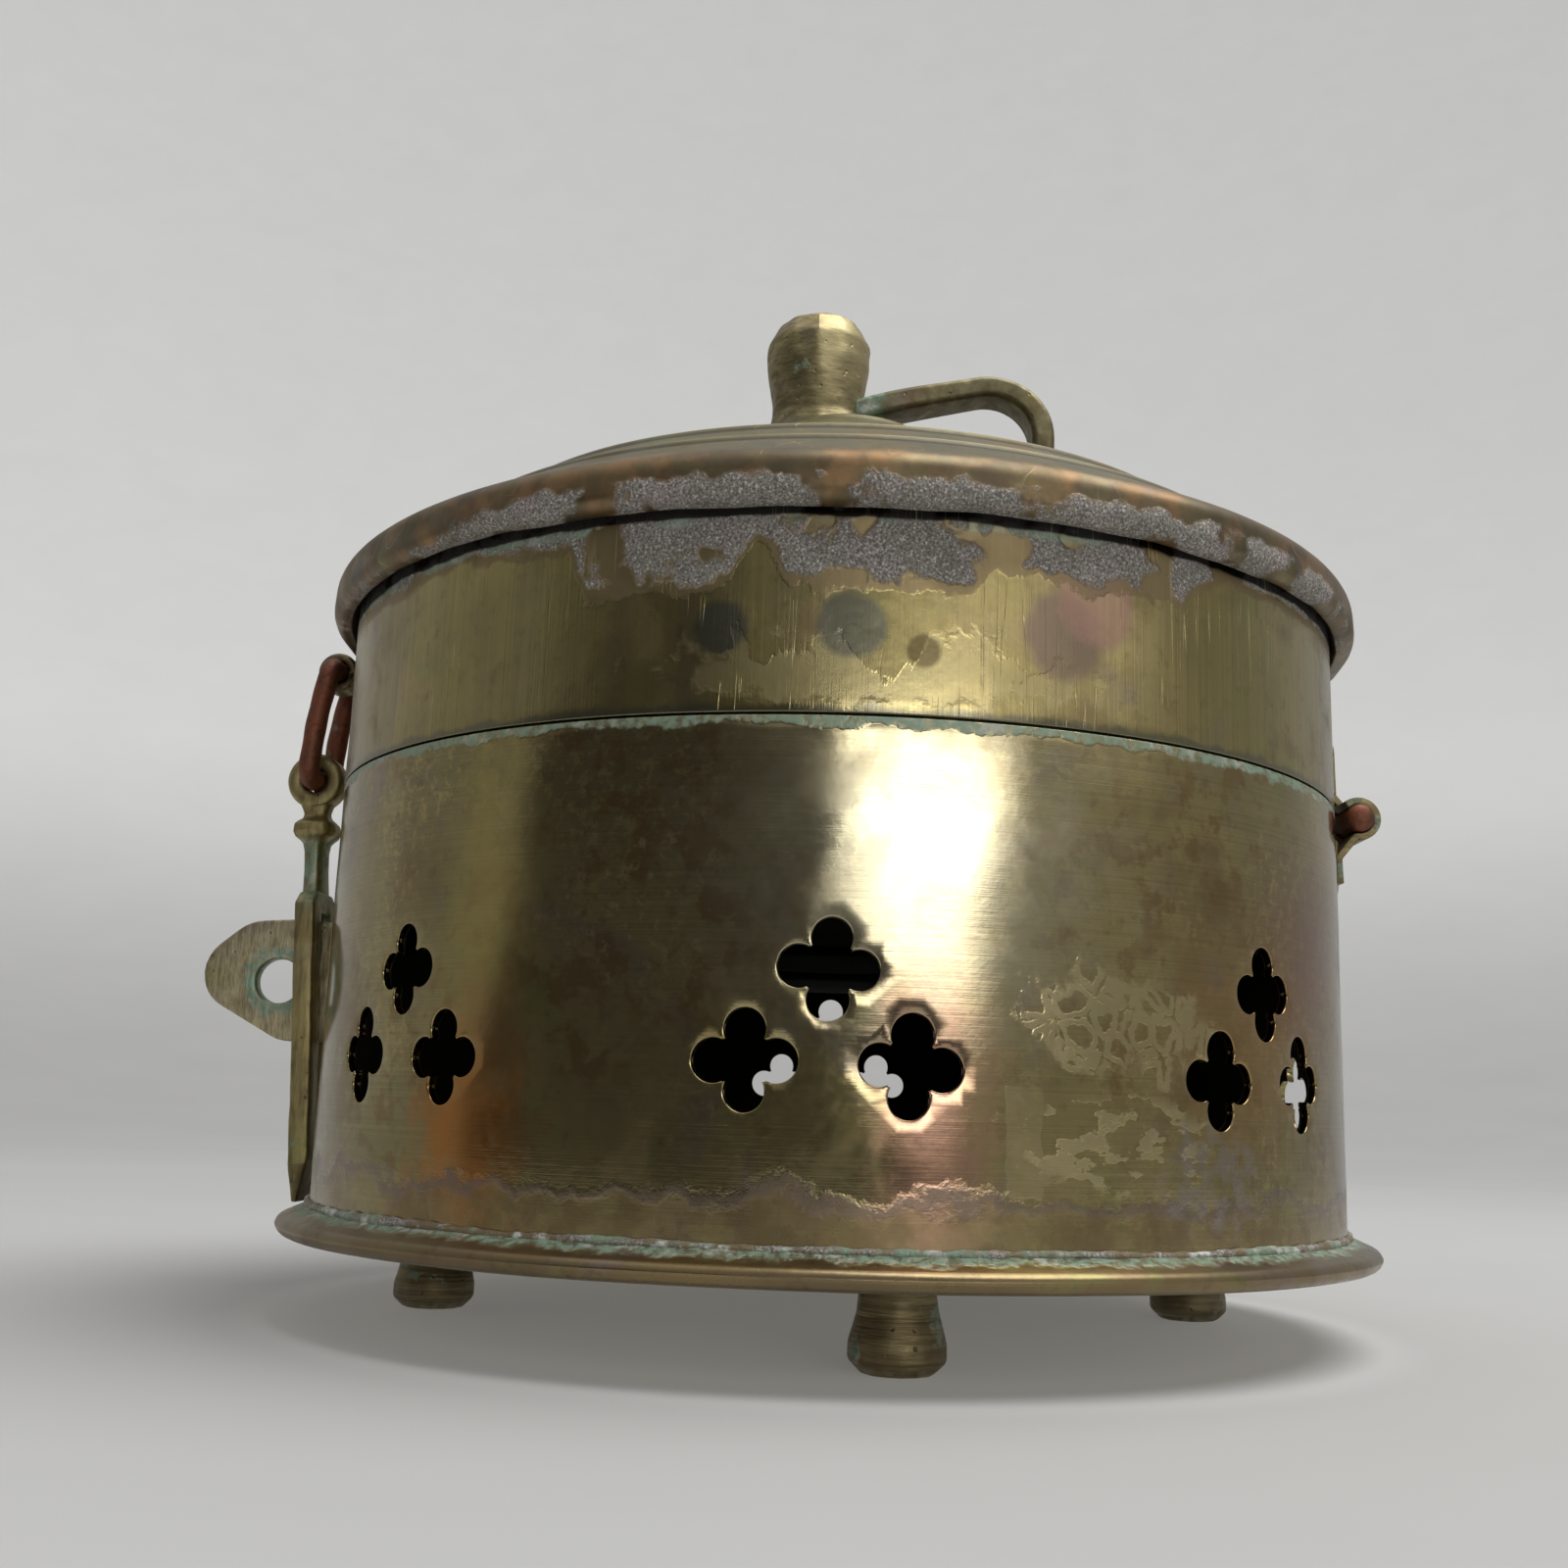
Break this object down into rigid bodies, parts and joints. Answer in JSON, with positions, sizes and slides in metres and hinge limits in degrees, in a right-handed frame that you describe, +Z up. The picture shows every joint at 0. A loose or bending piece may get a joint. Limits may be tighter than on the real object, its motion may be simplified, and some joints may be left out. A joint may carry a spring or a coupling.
{
  "type": "spice box",
  "caption": "Round footed brass box with a pierced wall, a hinged stepped lid with knob and loop, a hasp on a wire link, and a lift-out tray of cups.",
  "frame": {"origin": "on the box's upright axis, in the plane that the four feet stand on", "axes": "+Z up, -Y towards the hasp (front), +Y towards the hinge (back), +X to the box's right as seen from the front"},
  "size_m": [0.1212, 0.137, 0.1216],
  "materials": {
    "wall_brass": "aged, finely brushed, tarnished",
    "lid_brass": "aged, spun, tarnished",
    "cast_brass": "aged, cast and filed",
    "inner_brass": "aged, satin",
    "copper": "aged copper wire, dull"
  },
  "bodies": {
    "base": {"base_wall": "wall_brass", "base_plate": "wall_brass", "collar_ring": "inner_brass", "foot_1": "cast_brass", "foot_2": "cast_brass", "foot_3": "cast_brass", "foot_4": "cast_brass", "lock_lug": "cast_brass", "hinge_leaf_base": "cast_brass", "hinge_pin": "copper"},
    "lid": {"lid_band": "wall_brass", "lid_top": "lid_brass", "hinge_leaf_lid": "cast_brass", "knob": "cast_brass", "knob_washer": "inner_brass", "loop_handle": "cast_brass", "link_eye": "cast_brass"},
    "link": {"copper_link": "copper"},
    "hasp": {"hasp": "cast_brass"},
    "tray": {"cup_tray": "inner_brass"},
    "cup_1": {"cup_1": "inner_brass"},
    "cup_2": {"cup_2": "inner_brass"},
    "cup_3": {"cup_3": "inner_brass"},
    "cup_4": {"cup_4": "inner_brass"},
    "cup_5": {"cup_5": "inner_brass"},
    "cup_6": {"cup_6": "inner_brass"},
    "cup_7": {"cup_7": "inner_brass"}
  },
  "joints": [
    {"name": "lid_hinge", "type": "hinge", "parent": "base", "child": "lid", "pos_m": [0, 0.05975, 0.0571], "axis": [-1, 0, 0], "range_deg": [0, 100]},
    {"name": "link_swing", "type": "hinge", "parent": "lid", "child": "link", "pos_m": [0, -0.061, 0.0731], "axis": [-1, 0, 0], "range_deg": [0, 160]},
    {"name": "hasp_swing", "type": "hinge", "parent": "link", "child": "hasp", "pos_m": [0, -0.0627, 0.0596], "axis": [-1, 0, 0], "range_deg": [0, 90]},
    {"name": "tray_lift", "type": "slide", "parent": "base", "child": "tray", "axis": [0, 0, 1], "range_m": [0, 0.013]},
    {"name": "cup_1_lift", "type": "slide", "parent": "tray", "child": "cup_1", "axis": [0, 0, 1], "range_m": [0, 0.013]},
    {"name": "cup_2_lift", "type": "slide", "parent": "tray", "child": "cup_2", "axis": [0, 0, 1], "range_m": [0, 0.013]},
    {"name": "cup_3_lift", "type": "slide", "parent": "tray", "child": "cup_3", "axis": [0, 0, 1], "range_m": [0, 0.013]},
    {"name": "cup_4_lift", "type": "slide", "parent": "tray", "child": "cup_4", "axis": [0, 0, 1], "range_m": [0, 0.013]},
    {"name": "cup_5_lift", "type": "slide", "parent": "tray", "child": "cup_5", "axis": [0, 0, 1], "range_m": [0, 0.013]},
    {"name": "cup_6_lift", "type": "slide", "parent": "tray", "child": "cup_6", "axis": [0, 0, 1], "range_m": [0, 0.013]},
    {"name": "cup_7_lift", "type": "slide", "parent": "tray", "child": "cup_7", "axis": [0, 0, 1], "range_m": [0, 0.013]}
  ],
  "couplings": [
    {"joint": "link_swing", "follows": "lid_hinge", "ratio": 1.6}
  ]
}
